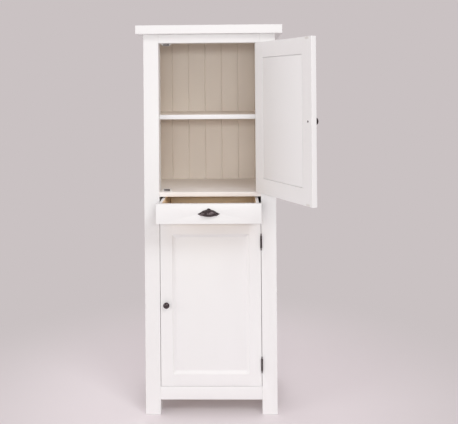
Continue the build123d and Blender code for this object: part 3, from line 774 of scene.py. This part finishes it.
def catch_magnet():
    """A flat magnet whose face is sunk between steel edges."""
    magnet = block("magnet", (-MAGNET_HALF * MM, -MM, MAGNET_RIM * MM),
                   (MAGNET_HALF * MM, MAGNET_DEEP * MM, (CATCH_HIGH - MAGNET_RIM) * MM))
    edit(magnet)
    choose_faces(lambda middle, normal: normal.y < -0.9)
    bpy.ops.mesh.inset(thickness=MAGNET_EDGE * MM)
    bpy.ops.transform.translate(value=(0, MAGNET_SINK * MM, 0))
    leave_edit()
    soften(magnet, 0.2 * MM, 2)
    return magnet


ear_screws = [Vector((side * EAR_SCREW_X, EAR_SCREW_Y, EAR_HIGH)) * MM for side in (-1, 1)]
fit(copies("catch_bodies_moulded", catch_body(), catch_places), "catch_bodies", white_plastic)
fit(copies("catch_magnets_set", catch_magnet(), catch_places), "catch_magnets", magnet_steel)
catch_screws = copies("catch_screws", screw("catch_screw", 2.8, 1.5, 1.4, 15.0),
                      [place @ facing(spot, UP) for place in catch_places for spot in ear_screws])
mount(catch_screws, "catch_bodies", strike_steel)

# ---- Drawer ----------------------------------------------------------------------------------
eased("drawer_front", 1.0, paint_across)
for hand, inwards in (("left", ACROSS), ("right", -ACROSS)):
    eased(f"drawer_side_{hand}", 1.6, paint_deep, wood_deep, inwards)
eased("drawer_back", 1.2, wood_across)
eased("drawer_bottom", 0.4, wood_across)
for channel in ("slide_outer_channels", "slide_middle_channels", "slide_inner_channels"):
    eased(channel, 0.35, slide_steel)

front_low, front_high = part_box("drawer_front")
pull_centre = Vector((0, front_low.y, (front_low.z + front_high.z) / 2))
# In mm from the pull's centre.
PULL_TIP = 49.0               # half the length over the plate's points
PULL_PEAK = 25.0              # height of the plate's upper point
PLATE = 2.0                   # thickness of the plate
PLATE_EDGE = 1.3              # width of its raised border
PLATE_SINK = 0.5              # the plate's face behind its border
CUP_X, CUP_R, CUP_WALL = 36.0, 18.5, 2.0      # half the length, reach and thickness
CUP_SWEEP = math.radians(122)
PULL_SCREW_X = 42.0
PULL_SCREW_SINK = 0.4         # the screw's head into the plate


def on_pull(x, z, out=0.0):
    """A point on the drawer front, in mm across, up and out from the pull's centre."""
    return pull_centre + (ACROSS * x + UP * z + OUT * out) * MM


def pull_plate():
    """A plate pointed at both sides and at the top, with a raised border."""
    right = [(PULL_TIP - 0.6, -0.5), (PULL_TIP, 0), (PULL_TIP - 0.6, 0.5)]
    right += bow((CUP_X + 4, 5.2), (CUP_X - 4, 9.6), 0.3, 3)
    for degrees in range(35, 75, 8):
        lean = math.radians(degrees)
        right.append(((CUP_X + 1) * math.cos(lean), (CUP_R + 1) * math.sin(lean)))
    right += bow((9.5, 18.9), (0, PULL_PEAK), -1.6, 5)
    lower = bow((CUP_X, -9), (PULL_TIP - 3, -2.2), 0.4, 3)
    half = lower + right
    outline = half + [(-x, z) for x, z in half[-2::-1]]
    plate = run_out("pull_plate", [on_pull(x, z) for x, z in outline], OUT * PLATE * MM)
    soften(plate, 0.7 * MM, 3, 60)
    edit(plate)
    choose_faces(lambda middle, normal: normal.y < -0.99)
    bpy.ops.mesh.inset(thickness=PLATE_EDGE * MM)
    bpy.ops.transform.translate(value=OUT * -PLATE_SINK * MM)
    leave_edit()
    return plate


def pull_cup():
    """A hollow cup swept from straight up, over the fingers, to its lip."""
    steps = 28
    arc = [math.pi * (1 - step / steps) for step in range(steps + 1)]
    rim = [on_pull(CUP_X * math.cos(lean), CUP_R * math.sin(lean)) for lean in arc]
    cup = draw_line("pull_cup", rim)
    bpy.ops.mesh.spin(steps=24, angle=-CUP_SWEEP, center=pull_centre, axis=ACROSS)
    tidy_mesh()
    leave_edit()
    apply_modifier(cup, "SOLIDIFY", thickness=CUP_WALL * MM, offset=-1, use_even_offset=True)
    soften(cup, 0.6 * MM, 3, 50)
    return cup


pull = join("cup_pull_cast", [pull_plate(), pull_cup()])
fit(pull, "cup_pull", black_iron, angle=40)
pull_screws = strew(screw("pull_screw", 2.6, 1.1, 1.6, 14.0), "cup_pull_screws_driven",
                    [on_pull(side * PULL_SCREW_X, 0, PLATE - PULL_SCREW_SINK)
                     for side in (-1, 1)], OUT)
fit(pull_screws, "cup_pull_screws", black_iron)

# ---- Nails through the back boards -------------------------------------------------------------
NAIL_IN_LEFT = 16 * MM        # from a board's edge without the tongue
NAIL_IN_RIGHT = 22 * MM       # from the end of its tongue
back_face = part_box(back_boards[0])[1].y
nail_rows = [
    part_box("rear_bottom_rail")[0].z + 30 * MM,
    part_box("lower_shelf")[0].z + 10 * MM,
    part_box("drawer_divider")[0].z + 10 * MM,
    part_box("upper_shelf")[0].z + 10 * MM,
    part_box("top_board")[0].z - 20 * MM,
]
nail_spots = []
for board in back_boards:
    low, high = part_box(board)
    for x in (low.x + NAIL_IN_LEFT, high.x - NAIL_IN_RIGHT):
        nail_spots += [Vector((x, back_face, z)) for z in nail_rows]
nail_profile = [(0, -2), (1.1, -2), (1.1, 0), (2.3, 0), (2.3, 0.2)]
nail_profile += bow((2.2, 0.3), (0, 0.6), -0.1, 3)
nail = turned("nail", nail_profile, Vector((0, 0, 0)), UP, 12)
nails = strew(nail, "back_board_nails", nail_spots, -OUT)
mount(nails, back_boards[0], slide_steel)

# ---- Stage: floor, light and camera --------------------------------------------------------------
bpy.context.scene.view_settings.view_transform = "Standard"
SURROUNDINGS = shade(202, 194, 195)
FLOOR = shade(237, 230, 233)
FADE_START, FADE_END = 0.45, 1.7       # metres from the middle of the cupboard


def stage_floor():
    """A pale floor that fades into the plain surroundings away from the cupboard."""
    made = bpy.data.materials.new("stage_floor")
    made.use_nodes = True
    shader = made.node_tree.nodes["Principled BSDF"]
    shader.inputs["Base Color"].default_value = FLOOR
    shader.inputs["Roughness"].default_value = 0.6
    place = node(made, "TexCoord")
    away = node(made, "VectorMath")
    away.operation = "LENGTH"
    fade = node(made, "MapRange", From_Min=FADE_START, From_Max=FADE_END)
    fade.interpolation_type = "SMOOTHSTEP"
    beyond = node(made, "Emission", Color=SURROUNDINGS)
    blend = node(made, "MixShader")
    output = made.node_tree.nodes["Material Output"]
    wire(made, place.outputs["Object"], away.inputs[0])
    wire(made, away.outputs["Value"], fade.inputs["Value"])
    wire(made, fade.outputs["Result"], blend.inputs[0])
    wire(made, shader.outputs[0], blend.inputs[1])
    wire(made, beyond.outputs[0], blend.inputs[2])
    wire(made, blend.outputs[0], output.inputs["Surface"])
    return made


deselect()
bpy.ops.mesh.primitive_plane_add(size=60)
floor = bpy.context.object
floor.name = "stage_floor"
floor.data.materials.append(stage_floor())

world = bpy.data.worlds.new("plain_surroundings")
bpy.context.scene.world = world
world.use_nodes = True
world.node_tree.nodes["Background"].inputs["Color"].default_value = SURROUNDINGS
world.node_tree.nodes["Background"].inputs["Strength"].default_value = 1.0


def softbox(name, place, aim, wide, high, power, tint=(0.965, 1.0, 0.995)):
    """A lit rectangle, its size in metres and its power in watts, turned towards aim."""
    light = bpy.data.lights.new(name, "AREA")
    light.shape = "RECTANGLE"
    light.size, light.size_y = wide, high
    light.energy = power
    light.color = tint
    lamp = bpy.data.objects.new(name, light)
    bpy.context.scene.collection.objects.link(lamp)
    lamp.location = place
    lamp.rotation_euler = (aim - place).to_track_quat("-Z", "Y").to_euler()


middle = Vector((0, cad_low.y, 0.9))
softbox("softbox_right", Vector((3.4, -5.4, 5.8)), middle, 2.6, 2.2, 150)
softbox("softbox_left", Vector((-4.6, -2.9, 2.0)), middle, 3.0, 2.2, 64)
softbox("softbox_front", Vector((0.3, -4.8, 1.9)), Vector((0, 0, 1.0)), 2.2, 0.4, 47)
softbox("softbox_rear", Vector((-1.2, 5.6, 2.4)), middle, 2.6, 2.0, 40)

SENSOR = 36                            # width in mm
LENS = 53.378
SHIFT = -0.2759                        # lowers the view of a level camera to the feet
CAMERA_PLACE = (0.1452, -3.3711, 1.5205)
CAMERA_TURN, CAMERA_ROLL = 0.0172, -0.0076
camera_data = bpy.data.cameras.new("camera")
camera_data.sensor_width = SENSOR
camera_data.lens = LENS
camera_data.shift_y = SHIFT
camera = bpy.data.objects.new("camera", camera_data)
bpy.context.scene.collection.objects.link(camera)
camera.matrix_world = (
    Matrix.Translation(CAMERA_PLACE)
    @ Matrix.Rotation(CAMERA_TURN, 4, "Z")
    @ Matrix.Rotation(math.pi / 2, 4, "X")
    @ Matrix.Rotation(CAMERA_ROLL, 4, "Z")
)
bpy.context.scene.camera = camera
